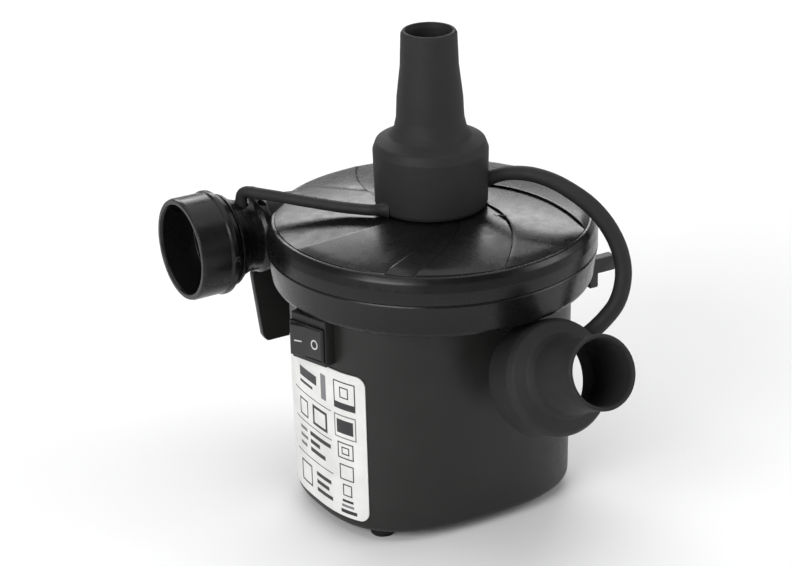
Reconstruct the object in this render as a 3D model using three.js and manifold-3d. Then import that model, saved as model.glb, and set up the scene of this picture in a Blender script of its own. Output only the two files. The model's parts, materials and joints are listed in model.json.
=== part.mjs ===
// Electric air mattress pump: a mains motor in a moulded housing drives a centrifugal fan in a
// two-part volute. Air enters through the spigot on top and leaves through the side outlet.
// Two soft nozzles hang on moulded straps. Millimetres, +Z up, feet on Z = 0.
import * as THREE from 'three';
import { mergeVertices } from 'three/addons/utils/BufferGeometryUtils.js';
import Module from 'manifold-3d';

const wasm = await Module();
wasm.setup();

// ---------------------------------------------------------------- driving dimensions
const GAP = 0.3; // between parts that rest on each other
const FOOT_HEIGHT = 3;
const WALL = 2.2;

// Motor housing: a rounded oblong cup. X offset of its middle from the fan axis.
const BODY = { x: -1, halfWidth: 46, halfDepth: 37.7, power: 2.7, draft: 0.9, sides: 48 };
const BODY_BOTTOM = FOOT_HEIGHT;
const RIM = 80; // underside of the fan housing

// Volute drum and its dome
const SEAM = 91.5;
const DRUM_RADIUS = 55.8;
const DRUM_TOP = 101;
const DOME_TOP = 104.8;
const DRUM_SIDES = 48;

// Outlet duct, tangential at the back, pointing to -X
const DUCT = { y: 39.2, z: SEAM, innerEnd: -24, outerEnd: -63 };
const COLLAR = { face: -75.1, back: -59.4, outer: 17.5, bore: 15.25 };

// Inlet spigot on the fan axis and the two nozzles that fit it
const SPIGOT = { outer: 16.2, bore: 13.6, top: 121 };
const NOZZLE_BASE = 105.5;
const TIP = 165.8;

// Switch pad on the left wall: middle of its face and the direction that it faces
const PAD = { x: -52.95, y: -8.4, z: 70.7, facing: 198, width: 15.2, bottom: 63, top: 79.4 };
// The rocker turns about an upright pin this far behind the pad's face; it rests tilted, switched off
const ROCKER = { halfLength: 6.3, halfHeight: 5.3, pinDepth: 1, tilt: 9 };

// Short nozzle, parked under the rim on the front
const SHORT = { x: 11.6, y: -47.6, z: 55.7, rise: 25 };

// Mains inlet and rating label on the motor housing
const GLAND = { x: 12, z: 16, bore: 3.4 };
const LABEL = { from: 152.5, to: 212, bottom: 7, top: 60.8 };

// Fan and motor
const SHAFT_RADIUS = 2.5;
const SHAFT_BORE = 2.58;
const SHAFT_SIDES = 16;
const FAN = { bottom: 84.6, top: 96.4, radius: 41.5, blades: 8 };
const STACK = { bottom: 34, top: 54, radius: 13 };
const STUD_X = 21;

// ---------------------------------------------------------------- colours
const ABS_BLACK = { color: 0x1d1d1e, roughness: 0.32, metalness: 0 };
const ABS_GREY = { color: 0x2e2e2c, roughness: 0.45, metalness: 0 };
const SOFT_PVC = { color: 0x323232, roughness: 0.62, metalness: 0 };
const RUBBER = { color: 0x1a1a1a, roughness: 0.8, metalness: 0 };
const PAPER = { color: 0xdddddb, roughness: 0.4, metalness: 0 };
const STEEL = { color: 0xa9acb0, roughness: 0.35, metalness: 1 };
const SILICON_STEEL = { color: 0x6f7276, roughness: 0.5, metalness: 0.8 };
const COPPER = { color: 0xa8542a, roughness: 0.4, metalness: 0.8 };
const BRASS = { color: 0xb08d3c, roughness: 0.35, metalness: 1 };
const CARBON = { color: 0x262626, roughness: 0.7, metalness: 0.1 };
const NYLON = { color: 0xd8d5c8, roughness: 0.5, metalness: 0 };
const YELLOW = { color: 0xc9a21e, roughness: 0.5, metalness: 0 };
const BROWN = { color: 0x5a3420, roughness: 0.5, metalness: 0 };
const BLUE = { color: 0x24508f, roughness: 0.5, metalness: 0 };

const pump = new THREE.Group();

// ---------------------------------------------------------------- solids
const radians = THREE.MathUtils.degToRad;
const vec = (x, y, z) => new THREE.Vector3(x, y, z);

// A closed geometry becomes a solid; triangles with two equal corners are left out.
function solid(geometry) {
  const bare = geometry.index ? geometry.toNonIndexed() : geometry.clone();
  bare.deleteAttribute('normal');
  bare.deleteAttribute('uv');
  const welded = mergeVertices(bare, 1e-4);
  const points = welded.attributes.position.array;
  const corners = [];
  const index = welded.index.array;
  for (let i = 0; i < index.length; i += 3) {
    const [a, b, c] = [index[i], index[i + 1], index[i + 2]];
    if (a !== b && b !== c && c !== a) corners.push(a, b, c);
  }
  if (volume(points, corners) < 0) corners.reverse();
  const vertProperties = new Float32Array(points);
  const triVerts = new Uint32Array(corners);
  return new wasm.Manifold(new wasm.Mesh({ numProp: 3, vertProperties, triVerts }));
}

function volume(points, corners) {
  const corner = (i) => new THREE.Vector3().fromArray(points, 3 * corners[i]);
  let sum = 0;
  for (let i = 0; i < corners.length; i += 3) {
    sum += corner(i).dot(corner(i + 1).cross(corner(i + 2)));
  }
  return sum;
}

function geometryOf(body) {
  const mesh = body.getMesh();
  const geometry = new THREE.BufferGeometry();
  geometry.setAttribute('position', new THREE.BufferAttribute(mesh.vertProperties, 3));
  geometry.setIndex(new THREE.BufferAttribute(mesh.triVerts, 1));
  geometry.computeVertexNormals();
  return geometry;
}

function add(name, body, finish) {
  const mesh = new THREE.Mesh(geometryOf(body), new THREE.MeshStandardMaterial(finish));
  mesh.name = name;
  pump.add(mesh);
  return mesh;
}

const join = (...bodies) => bodies.reduce((whole, body) => whole.add(body));
const cut = (whole, ...bodies) => bodies.reduce((rest, body) => rest.subtract(body), whole);

// Turned about Z from [radius, z] pairs
function turned(profile, sides = 24) {
  const points = profile.map(([r, z]) => new THREE.Vector2(r, z));
  return solid(new THREE.LatheGeometry(points, sides).rotateX(Math.PI / 2));
}

function ring(inner, outer, bottom, top, sides) {
  return turned([[inner, bottom], [outer, bottom], [outer, top], [inner, top], [inner, bottom]], sides);
}

function disc(radius, bottom, top, sides) {
  return turned([[0, bottom], [radius, bottom], [radius, top], [0, top]], sides);
}

// Turned about the duct's axis, from [radius, x] pairs
function ductTurned(profile, sides = 24) {
  const points = profile.map(([r, x]) => new THREE.Vector2(r, x));
  const geometry = new THREE.LatheGeometry(points, sides).rotateZ(-Math.PI / 2);
  return solid(geometry.translate(0, DUCT.y, DUCT.z));
}

function box([x0, y0, z0], [x1, y1, z1]) {
  const geometry = new THREE.BoxGeometry(x1 - x0, y1 - y0, z1 - z0);
  return solid(geometry.translate((x0 + x1) / 2, (y0 + y1) / 2, (z0 + z1) / 2));
}

// An outline of [x, y] points with holes, raised from bottom to top
function raised(outline, bottom, top, holes = []) {
  const shape = new THREE.Shape(outline.map(([x, y]) => new THREE.Vector2(x, y)));
  shape.holes = holes.map((hole) => new THREE.Path(hole.map(([x, y]) => new THREE.Vector2(x, y))));
  const geometry = new THREE.ExtrudeGeometry(shape, { depth: top - bottom, bevelEnabled: false });
  return solid(geometry.translate(0, 0, bottom));
}

// A round bar of one radius along points given by hand
function bar(points, radius, sides, steps) {
  const circle = new THREE.Shape();
  for (let i = 0; i < sides; i++) {
    const angle = (2 * Math.PI * i) / sides;
    const [x, y] = [radius * Math.cos(angle), radius * Math.sin(angle)];
    if (i === 0) circle.moveTo(x, y);
    else circle.lineTo(x, y);
  }
  const extrudePath = new THREE.CatmullRomCurve3(points.map((p) => vec(...p)), false, 'centripetal');
  return solid(new THREE.ExtrudeGeometry(circle, { steps, extrudePath, bevelEnabled: false }));
}

// Closed rings of points, lowest first, joined by bands and capped at both ends
function loft(rings) {
  const count = rings[0].length;
  const points = rings.flat();
  const faces = [];
  for (let k = 0; k < rings.length - 1; k++) {
    for (let i = 0; i < count; i++) {
      const [a, b] = [k * count + i, k * count + ((i + 1) % count)];
      faces.push(a, b, b + count, a, b + count, a + count);
    }
  }
  const last = (rings.length - 1) * count;
  for (let i = 1; i < count - 1; i++) {
    faces.push(0, i + 1, i, last, last + i, last + i + 1);
  }
  const geometry = new THREE.BufferGeometry().setFromPoints(points);
  geometry.setIndex(faces);
  return solid(geometry);
}

// ---------------------------------------------------------------- the housing's outline
// Radius of the oblong at an angle, grown outwards by `grow`
function bodyRadius(angle, grow) {
  const across = Math.abs(Math.cos(angle) / (BODY.halfWidth + grow)) ** BODY.power;
  const along = Math.abs(Math.sin(angle) / (BODY.halfDepth + grow)) ** BODY.power;
  return (across + along) ** (-1 / BODY.power);
}

function bodyPoint(angle, grow, z) {
  const radius = bodyRadius(angle, grow);
  return vec(BODY.x + radius * Math.cos(angle), radius * Math.sin(angle), z);
}

function bodyRing(z, grow) {
  return Array.from({ length: BODY.sides }, (_, i) => bodyPoint((2 * Math.PI * i) / BODY.sides, grow, z));
}

// The wall leans out towards the rim
const lean = (z) => (BODY.draft * (z - BODY_BOTTOM)) / (RIM - BODY_BOTTOM);

function bodyFill(inset, bottom, top) {
  const rounded = [[0, -2.6], [0.8, -1], [2.8, 0]];
  const rings = rounded.map(([rise, grow]) => bodyRing(bottom + rise, lean(bottom) + grow - inset));
  return loft([...rings, bodyRing(top, lean(top) - inset)]);
}

// ---------------------------------------------------------------- motor housing
const housingPosts = [[35.2, 22], [-37.9, 21.6], [-37.9, -21.6], [35.2, -22]];

function atPad(body) {
  return body.rotate([0, 0, PAD.facing]).translate([PAD.x, PAD.y, PAD.z]);
}

// Local frame of the pad: +X out of its face, Y along its width, Z up
function padBox(x0, x1, halfWidth, z0, z1) {
  return atPad(box([x0, -halfWidth, z0], [x1, halfWidth, z1]));
}

function motorHousing() {
  const outside = bodyFill(0, BODY_BOTTOM, RIM - GAP);
  const inside = bodyFill(WALL, BODY_BOTTOM + WALL, RIM + 5);
  const pad = padBox(-10, 0, PAD.width / 2, PAD.bottom - PAD.z, PAD.top - PAD.z);
  const posts = housingPosts.map(([x, y]) => disc(3.8, 30, RIM - GAP, 12).translate([x, y, 0]));
  const seats = [-STUD_X, STUD_X].map((x) => disc(4.5, BODY_BOTTOM + 1, 10.6, 16).translate([x, 0, 0]));
  const screwHoles = housingPosts.map(([x, y]) => disc(1.7, 50, RIM + 1, 8).translate([x, y, 0]));
  const switchHole = padBox(-15, 1, 7.1, -6, 6);
  const glandHole = disc(6.3, 30, 45, 16).rotate([-90, 0, 0]).translate([GLAND.x, 0, GLAND.z]);
  const ductRoom = ductTurned([[0, 0], [12.7, 0], [12.7, -46], [14.8, -60], [0, -60]]);
  const vents = [-3, -2, -1, 0, 1, 2, 3].map((i) => box([5 * i - 1.2, -12, 0], [5 * i + 1.2, 12, 8]));
  const slots = vents.map((vent) => vent.translate([BODY.x, 0, 0]));
  const shell = cut(join(outside, pad), inside);
  return cut(join(shell, ...posts, ...seats), ...screwHoles, ...slots, switchHole, glandHole, ductRoom);
}

add('motor_housing', motorHousing(), ABS_GREY);

const footPlaces = [[30, 21.5], [-34, 21.5], [-34, -21.5], [30, -21.5]];
footPlaces.forEach(([x, y], i) => {
  const pad = turned([[0, 0], [3.9, 0], [4.3, 0.6], [4.3, BODY_BOTTOM - 0.05], [0, BODY_BOTTOM - 0.05]], 16);
  add(`foot_${i + 1}`, pad.translate([x, y, 0]), RUBBER);
});

// A thin sheet wrapped round the left wall, its corners cut
function ratingLabel() {
  const { from, to, bottom, top } = LABEL;
  const wrap = (share, z, off) => bodyPoint(radians(from + (to - from) * share), lean(z) + off, z);
  const column = (share, inset) => [
    wrap(share, bottom + inset, 0.25),
    wrap(share, top - inset, 0.25),
    wrap(share, top - inset, 0.55),
    wrap(share, bottom + inset, 0.55),
  ];
  const facets = [155, 157.5, 165, 172.5, 180, 187.5, 195, 202.5, 210];
  const middle = facets.map((degrees) => column((degrees - from) / (to - from), 0));
  return loft([column(0, 3), ...middle, column(1, 3)]);
}

add('rating_label', ratingLabel(), PAPER);

function cordGland() {
  const bore = GLAND.bore;
  const profile = [[bore, 31], [6, 31], [6, 38.4], [7.6, 38.4], [7.6, 40.4], [5.4, 41.5], [5, 48], [bore, 48]];
  return turned([...profile, profile[0]], 16).rotate([-90, 0, 0]).translate([GLAND.x, 0, GLAND.z]);
}

add('cord_gland', cordGland(), RUBBER);

// Rear plate on two webs: the mains cord is wound on the webs, behind the housing
function cordBracket() {
  const outline = [[-37.4, 44.5], [37.4, 44.5], [38.9, 47], [42.2, 72], [-42.2, 72], [-38.9, 47]];
  const plate = raised(outline, 0, 2.5).rotate([90, 0, 0]).translate([BODY.x, 52.5, 0]);
  const webs = [-20, 14].map((x) => box([x, 38.75, 50], [x + 2.5, 50.5, 68]));
  return join(plate, ...webs);
}

function cordHook() {
  return join(box([46.1, -12, 69.5], [67, -8, 75]), box([56.5, -12, 64.5], [60, -8, 72]));
}

add('cord_bracket', cordBracket(), ABS_GREY);
add('cord_hook', cordHook(), ABS_GREY);

// ---------------------------------------------------------------- volute drum and duct
const coverScrews = [-116.4, -63.6, 63.6, 96].map((degrees) => {
  const angle = radians(degrees);
  return [49.4 * Math.cos(angle), 49.4 * Math.sin(angle)];
});

function drumFill() {
  const side = [[53.2, RIM], [54, RIM + 0.8], [DRUM_RADIUS, SEAM], [DRUM_RADIUS, 95.5], [55, 98.8], [53.2, DRUM_TOP]];
  return turned([[0, RIM], ...side, [38, 103.4], [20, DOME_TOP], [0, DOME_TOP]], DRUM_SIDES);
}

function drumHollow() {
  const profile = [[0, 82.2], [52.4, 82.2], [53.4, 84], [53.4, 97], [51.4, 99.2], [37, 101.2], [20, 102.6], [0, 102.6]];
  return turned(profile, DRUM_SIDES);
}

function ductFill() {
  const [near, far] = [DUCT.innerEnd, DUCT.outerEnd];
  return ductTurned([[0, near], [10.4, near], [12.3, -46], [12.9, -52], [14.1, -57], [14.4, -60], [14.4, far], [0, far]]);
}

function ductHollow() {
  const [near, far] = [-26, DUCT.outerEnd - 1];
  return ductTurned([[0, near], [9.3, near], [10, -46], [12, -58], [12, far], [0, far]]);
}

const volute = cut(join(drumFill(), ductFill()), drumHollow(), ductHollow());
const lowerHalf = box([-90, -90, 0], [90, 90, SEAM - GAP / 2]);
const upperHalf = box([-90, -90, SEAM + GAP / 2], [90, 90, 200]);

function fanHousing() {
  const bosses = coverScrews.map(([x, y]) => disc(3.3, RIM + 1, SEAM - GAP / 2, 8).translate([x, y, 0]));
  const holes = coverScrews.map(([x, y]) => {
    return join(disc(1.7, RIM - 1, SEAM + 1, 8), disc(3, RIM - 1, RIM + 2.3, 8)).translate([x, y, 0]);
  });
  const floorHoles = housingPosts.map(([x, y]) => disc(1.7, RIM - 1, 90, 8).translate([x, y, 0]));
  const shaftHole = disc(5, RIM - 5, 90, 24);
  const slots = [];
  for (let i = 0; i < 6; i++) slots.push(box([9, -2.2, RIM - 3], [17, 2.2, 90]).rotate([0, 0, 60 * i + 30]));
  return cut(join(volute.intersect(lowerHalf), ...bosses), ...holes, ...floorHoles, shaftHole, ...slots);
}

add('fan_housing', fanHousing(), ABS_BLACK);

const STRAP_HOLE = { x: -52.5, y: 37.2 };

function topCover() {
  const bosses = coverScrews.map(([x, y]) => disc(3.3, SEAM + GAP / 2, 99.8, 8).translate([x, y, 0]));
  const holes = coverScrews.map(([x, y]) => disc(1.7, SEAM - 1, 98, 8).translate([x, y, 0]));
  const spigot = disc(SPIGOT.outer, 103, SPIGOT.top, 36);
  const bore = disc(SPIGOT.bore, 80, SPIGOT.top + 1, 36);
  const bars = [];
  for (let i = 0; i < 4; i++) bars.push(box([-15, -0.9, 103], [15, 0.9, 105.2]).rotate([0, 0, 45 * i]));
  const grille = join(disc(4.2, 103, 105.2, 24), ...bars);
  const strapHole = disc(2.4, 95, 110, 12).translate([STRAP_HOLE.x, STRAP_HOLE.y, 0]);
  const spareHole = disc(1.5, 98, 110, 10).translate([-46.3, 34, 0]);
  const shell = cut(join(volute.intersect(upperHalf), spigot, ...bosses), bore, ...holes, strapHole, spareHole);
  return join(shell, grille);
}

add('top_cover', topCover(), ABS_BLACK);

function outletCollar() {
  const { face, back, outer, bore } = COLLAR;
  const inside = [[14.7, back], [14.7, -62.6], [bore, -62.6], [bore, face + 0.6], [bore + 0.5, face]];
  const outside = [[outer - 0.4, face], [outer, face + 0.8], [outer + 0.3, -63], [outer - 0.4, -61], [15.9, back]];
  return ductTurned([...inside, ...outside, inside[0]]);
}

add('outlet_collar', outletCollar(), ABS_BLACK);

coverScrews.forEach(([x, y], i) => {
  const screw = turned([[0, RIM + 0.2], [2.6, RIM + 0.2], [2.6, RIM + 2], [1.3, RIM + 2], [1.3, 97], [0, 97]], 8);
  add(`cover_screw_${i + 1}`, screw.translate([x, y, 0]), STEEL);
});

housingPosts.forEach(([x, y], i) => {
  const screw = turned([[0, 55], [1.3, 55], [1.3, 82.4], [2.6, 82.4], [2.6, 84], [0, 84]], 8);
  add(`housing_screw_${i + 1}`, screw.translate([x, y, 0]), STEEL);
});

// ---------------------------------------------------------------- switch
function switchBezel() {
  const [long, high] = [ROCKER.halfLength + 0.25, ROCKER.halfHeight + 0.15];
  const frame = padBox(0.05, 1.2, 7.5, -6.5, 6.5);
  const well = padBox(-8, 0.7, long + 0.4, -high - 0.4, high + 0.4);
  const window = padBox(-6, 3, long, -high, high);
  const contacts = padBox(-9, 0, 3, -3, 3);
  const pin = atPad(disc(1.15, -10, 10, 12).translate([-ROCKER.pinDepth, 0, 0]));
  return cut(join(frame, well), window, contacts, pin);
}

function switchRocker() {
  const { halfLength, halfHeight, pinDepth, tilt } = ROCKER;
  const plan = [[-0.5, -halfLength], [3, -6], [2.6, 0], [3, 6], [-0.5, halfLength]];
  const cap = raised(plan, -halfHeight, halfHeight);
  const pin = disc(1, -5.75, 5.75, 12);
  return atPad(join(cap, pin).rotate([0, 0, tilt]).translate([-pinDepth, 0, 0]));
}

add('switch_bezel', switchBezel(), ABS_GREY);
add('switch_rocker', switchRocker(), ABS_GREY);
add('switch_body', cut(padBox(-18, -8.3, 5.3, -4.3, 4.3), padBox(-12, -8, 3, -3, 3)), NYLON);
[-3, 3].forEach((across, i) => {
  const blade = atPad(box([-24, across - 0.4, -2], [-18.3, across + 0.4, 2]));
  add(`switch_terminal_${i + 1}`, blade, BRASS);
});

// ---------------------------------------------------------------- nozzles and straps
function tallNozzle() {
  const skirt = [[16.75, NOZZLE_BASE], [18.6, NOZZLE_BASE], [19.1, NOZZLE_BASE + 0.7], [19.4, 125.3], [18.4, 127.6]];
  const cone = [[14, 130], [12.6, 131.6], [11.4, 135], [11.1, 143], [9.6, 155], [9.3, TIP - 1], [8.6, TIP]];
  const bore = [[7.8, TIP], [7.6, 150], [9, 140], [9.3, 128], [16.75, 124.5]];
  return turned([...skirt, ...cone, ...bore, skirt[0]], 28);
}

add('nozzle_tall', tallNozzle(), SOFT_PVC);

function shortNozzle() {
  const skirt = [[16.9, 0], [19, 0], [19.3, 0.7], [19.4, 13.2], [18.6, 14.6]];
  const barrel = [[14, 17.6], [13, 19.5], [12.2, 30], [12.1, 40.2], [11.6, 41]];
  const bore = [[11, 41], [10.8, 40], [10.8, 17], [16.9, 13.6]];
  return turned([...skirt, ...barrel, ...bore, skirt[0]], 28);
}

const short = shortNozzle().rotate([90 - SHORT.rise, 0, 0]).translate([SHORT.x, SHORT.y, SHORT.z]);
add('nozzle_short', short, SOFT_PVC);

// Pin and elbow that hold the left strap's end in the duct
function strapAnchor() {
  const pin = turned([[0, 99.5], [2, 99.5], [3, 100.8], [2.1, 101.6], [2, 108.5], [0, 110.6]], 12);
  const elbow = turned([[0, 0], [1.9, 0], [1.8, 3.2], [0, 3.2]], 12).rotate([0, 96, -54]);
  return join(pin.translate([STRAP_HOLE.x, STRAP_HOLE.y, 0]), elbow.translate([STRAP_HOLE.x, STRAP_HOLE.y, 108.9]));
}

add('strap_anchor', strapAnchor(), SOFT_PVC);

// Routes of the two straps, from end to end
const LEFT_STRAP = [
  [-50.3, 34.2, 108.6], [-49.0, 32.4, 108.5], [-47.4, 30.2, 108.5], [-45.4, 27.5, 108.5], [-43.2, 24.5, 108.4],
  [-40.8, 21.3, 108.2], [-38.3, 18.2, 108.0], [-35.7, 15.0, 107.8], [-33.1, 11.9, 107.6], [-30.6, 9.0, 107.4],
  [-28.3, 6.5, 107.3], [-26.3, 4.3, 107.3], [-24.5, 2.3, 107.3], [-22.4, 0.4, 107.3], [-19.9, -0.8, 107.3],
];

const RIGHT_STRAP = [
  [17.5, -10.1, 113.9], [19.5, -12.0, 114.9], [21.9, -15.0, 116.0], [25.9, -20.7, 116.6], [30.5, -26.2, 115.2],
  [34.6, -31.4, 112.4], [39.0, -36.6, 108.0], [42.4, -41.0, 102.4], [44.6, -44.9, 95.5], [44.8, -48.0, 88.5],
  [42.9, -50.2, 82.5], [39.6, -51.4, 77.3], [35.4, -51.1, 73.0], [31.9, -50.4, 70.0], [29.1, -49.9, 68.1],
];

add('strap_left', bar(LEFT_STRAP, 1.7, 8, 18), SOFT_PVC);
add('strap_right', bar(RIGHT_STRAP, 2.5, 8, 28), SOFT_PVC);

// ---------------------------------------------------------------- fan and rotor
function fanBlade() {
  const [inner, outer, thickness, bend] = [14, FAN.radius - 0.3, 1.4, radians(-38)];
  const side = (offset) => Array.from({ length: 6 }, (_, i) => {
    const share = i / 5;
    const radius = inner + (outer - inner) * share;
    const angle = bend * share ** 1.4 + offset / radius;
    return [radius * Math.cos(angle), radius * Math.sin(angle)];
  });
  return raised([...side(-thickness / 2), ...side(thickness / 2).reverse()], FAN.bottom + 0.8, FAN.top - 0.6);
}

function impeller() {
  const plate = disc(FAN.radius, FAN.bottom, FAN.bottom + 1.4, 32);
  const shroud = ring(27, FAN.radius, FAN.top - 1.2, FAN.top, 32);
  const hub = turned([[0, FAN.bottom], [7, FAN.bottom], [6, 95], [0, 95]], 24);
  const blade = fanBlade();
  const blades = [];
  for (let i = 0; i < FAN.blades; i++) blades.push(blade.rotate([0, 0, (360 * i) / FAN.blades]));
  return cut(join(plate, shroud, hub, ...blades), disc(SHAFT_BORE, 80, 99, SHAFT_SIDES));
}

add('impeller', impeller(), NYLON);
add('impeller_nut', cut(disc(4.6, 95.3, 98.3, 6), disc(SHAFT_BORE, 95, 99, SHAFT_SIDES)), STEEL);
const shaft = [[0, 8.6], [2.1, 8.6], [SHAFT_RADIUS, 9.2], [SHAFT_RADIUS, 99.4], [2, 100], [0, 100]];
add('motor_shaft', turned(shaft, SHAFT_SIDES), STEEL);

// A round section with slots cut into its rim
function slotted(radius, depth, count, bottom, top) {
  const outline = [];
  for (let i = 0; i < count; i++) {
    const corners = [[0, radius - depth], [0.18, radius - depth], [0.18, radius], [1, radius]];
    for (const [share, r] of corners) {
      const angle = (2 * Math.PI * (i + share)) / count;
      outline.push([r * Math.cos(angle), r * Math.sin(angle)]);
    }
  }
  return cut(raised(outline, bottom, top), disc(SHAFT_BORE, bottom - 1, top + 1, SHAFT_SIDES));
}

add('armature_core', slotted(STACK.radius, 4, 12, STACK.bottom, STACK.top), SILICON_STEEL);
add('commutator', slotted(6.5, 0.6, 16, 17, 27), COPPER);

function windingRing(bottom, top) {
  const round = [[4, bottom], [10.4, bottom], [11.8, bottom + 1.4], [11.8, top - 1.4], [10.4, top], [4, top]];
  return turned([...round, round[0]], 24);
}

add('armature_winding_lower', windingRing(27.4, STACK.bottom - GAP), COPPER);
add('armature_winding_upper', windingRing(STACK.top + GAP, 60.5), COPPER);

// ---------------------------------------------------------------- stator and brackets
function fieldCore() {
  const [bottom, top] = [33, 55];
  const yoke = box([-25, -23.5, bottom], [25, 23.5, top]);
  const hollow = box([-17, -19.8, bottom - 1], [17, 19.8, top + 1]);
  const wedge = raised([[0, 0], [15, -40], [40, -40], [40, 40], [15, 40]], bottom - 1, top + 1);
  const shoes = cut(ring(13.7, 16, bottom, top, 40), wedge, wedge.rotate([0, 0, 180]));
  const necks = join(box([-7.4, 14.6, bottom], [7.4, 21, top]), box([-7.4, -21, bottom], [7.4, -14.6, top]));
  const studHoles = [-STUD_X, STUD_X].map((x) => disc(1.9, bottom - 1, top + 1, 8).translate([x, 0, 0]));
  return cut(join(cut(yoke, hollow), shoes, necks), ...studHoles);
}

function fieldCoil(side) {
  const frame = box([-12.6, 16.4, 27.5], [12.6, 19.4, 60.5]);
  const hole = box([-7.8, 16, 32.6], [7.8, 20, 55.4]);
  return cut(frame, hole).rotate([0, 0, side === 'front' ? 180 : 0]);
}

add('field_core', fieldCore(), SILICON_STEEL);
add('field_coil_rear', fieldCoil('rear'), COPPER);
add('field_coil_front', fieldCoil('front'), COPPER);

// A flat bar that holds a bearing in a cup and passes the two studs
function bearingBracket(bottom, thickness, cupBottom, cupTop) {
  const plate = join(box([-24.5, -7, bottom], [24.5, 7, bottom + thickness]), disc(13, bottom, bottom + thickness, 24));
  const cup = disc(7.6, cupBottom, cupTop, 24);
  const holes = [-STUD_X, STUD_X].map((x) => disc(1.9, bottom - 1, bottom + 5, 8).translate([x, 0, 0]));
  return cut(join(plate, cup), disc(5.9, cupBottom - 1, cupTop + 1, 24), ...holes);
}

add('bearing_bracket_lower', bearingBracket(10.9, 2.2, 8, 14), STEEL);
add('bearing_bracket_upper', bearingBracket(66, 2.2, 64.5, 70.5), STEEL);
add('bearing_lower', ring(SHAFT_BORE, 5.6, 9.4, 13.8, 24), BRASS);
add('bearing_upper', ring(SHAFT_BORE, 5.6, 65, 70, 24), BRASS);
add('motor_mount_bush', ring(6.4, 9, 70.8, RIM - GAP, 24), RUBBER);

function brushSpring() {
  const [turns, steps, radius] = [3, 24, 1.7];
  const points = Array.from({ length: steps + 1 }, (_, i) => {
    const angle = (2 * Math.PI * turns * i) / steps;
    return [13.2 + (4.4 * i) / steps, radius * Math.cos(angle), 21.5 + radius * Math.sin(angle)];
  });
  return bar(points, 0.3, 4, steps);
}

['right', 'left'].forEach((side, i) => {
  const turn = [0, 0, 180 * i];
  const stud = turned([[0, 10.9], [1.5, 10.9], [1.5, 68.6], [3, 68.6], [3, 70.6], [0, 70.6]], 8);
  add(`motor_stud_${side}`, stud.translate([STUD_X, 0, 0]).rotate(turn), STEEL);
  const guide = cut(box([9.4, -4.2, 17.4], [19, 4.2, 25.6]), box([8, -3.1, 18.5], [18, 3.1, 24.5]));
  add(`brush_holder_${side}`, guide.rotate(turn), BRASS);
  add(`brush_${side}`, box([6.8, -2.8, 18.8], [12.6, 2.8, 24.2]).rotate(turn), CARBON);
  add(`brush_spring_${side}`, brushSpring().rotate(turn), STEEL);
});

// ---------------------------------------------------------------- wiring
add('suppression_capacitor', box([-10, 25.8, 36], [4, 31.4, 47]), YELLOW);

const LEADS = [
  ['lead_live', BROWN, [
    [10.8, 30.2, 16], [10.4, 29, 16], [9, 28.2, 15.8], [4, 28.4, 15.4], [-12, 28.6, 14.5], [-26, 23, 17], [-33, 13, 30],
    [-33.4, 3, 46], [-31.4, -3.4, 58], [-28.2, -4.8, 66], [-27.2, -3.4, 70.4], [-28.7, -3.7, 70.7],
  ]],
  ['lead_switched', BROWN, [
    [-30.7, 1.95, 70.7], [-29, 2.5, 70.3], [-28.6, 4.5, 66], [-29.5, 7, 56], [-29, 9, 40],
    [-25, 10, 28], [-17, 9, 22.5], [-15, 6.5, 21.6], [-15, 4.6, 21.5],
  ]],
  ['lead_neutral', BLUE, [
    [13.4, 30.2, 16.5], [17, 24, 18], [17.5, 15, 20.5], [15.5, 8, 21.4], [15, 4.6, 21.5],
  ]],
];
for (const [name, finish, route] of LEADS) add(name, bar(route, 0.9, 6, 14), finish);

// The origin is under the middle of everything but the straps.
const footprint = new THREE.Box3();
pump.children.filter((piece) => !piece.name.startsWith('strap_')).forEach((piece) => footprint.expandByObject(piece));
const middle = footprint.getCenter(new THREE.Vector3());
pump.position.set(-middle.x, -middle.y, 0);

export default pump;
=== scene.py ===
"""Electric air mattress pump: the visible pieces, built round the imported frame.

Shapes are given in millimetres about the fan's axis, with Z up from the floor, and place() turns
them into the frame's metres.
"""
import json
import math

import bmesh
import bpy
from mathutils import Matrix, Vector


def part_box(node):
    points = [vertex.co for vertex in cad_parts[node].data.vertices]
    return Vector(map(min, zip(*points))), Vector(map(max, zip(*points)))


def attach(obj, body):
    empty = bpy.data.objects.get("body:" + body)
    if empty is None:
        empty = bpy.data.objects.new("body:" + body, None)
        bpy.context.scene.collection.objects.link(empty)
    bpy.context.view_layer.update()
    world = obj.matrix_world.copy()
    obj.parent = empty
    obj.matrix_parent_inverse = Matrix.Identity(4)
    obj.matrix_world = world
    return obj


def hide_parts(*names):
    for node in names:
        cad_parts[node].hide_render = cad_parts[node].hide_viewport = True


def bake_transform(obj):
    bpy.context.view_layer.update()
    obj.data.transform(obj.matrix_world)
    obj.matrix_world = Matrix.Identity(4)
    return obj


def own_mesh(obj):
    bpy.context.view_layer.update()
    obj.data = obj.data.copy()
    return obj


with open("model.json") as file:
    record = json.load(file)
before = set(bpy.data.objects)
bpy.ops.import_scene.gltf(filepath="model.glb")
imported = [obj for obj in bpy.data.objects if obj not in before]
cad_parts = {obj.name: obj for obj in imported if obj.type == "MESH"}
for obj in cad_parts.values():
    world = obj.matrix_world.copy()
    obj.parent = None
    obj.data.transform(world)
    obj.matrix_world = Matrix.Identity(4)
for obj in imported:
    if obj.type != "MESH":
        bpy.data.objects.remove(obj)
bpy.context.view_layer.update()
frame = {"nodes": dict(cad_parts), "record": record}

MM = 0.001
TAU = 2 * math.pi

_nozzle_low, _nozzle_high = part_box("nozzle_tall")
AXIS = Vector(((_nozzle_low.x + _nozzle_high.x) / 2, (_nozzle_low.y + _nozzle_high.y) / 2, 0))

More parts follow.
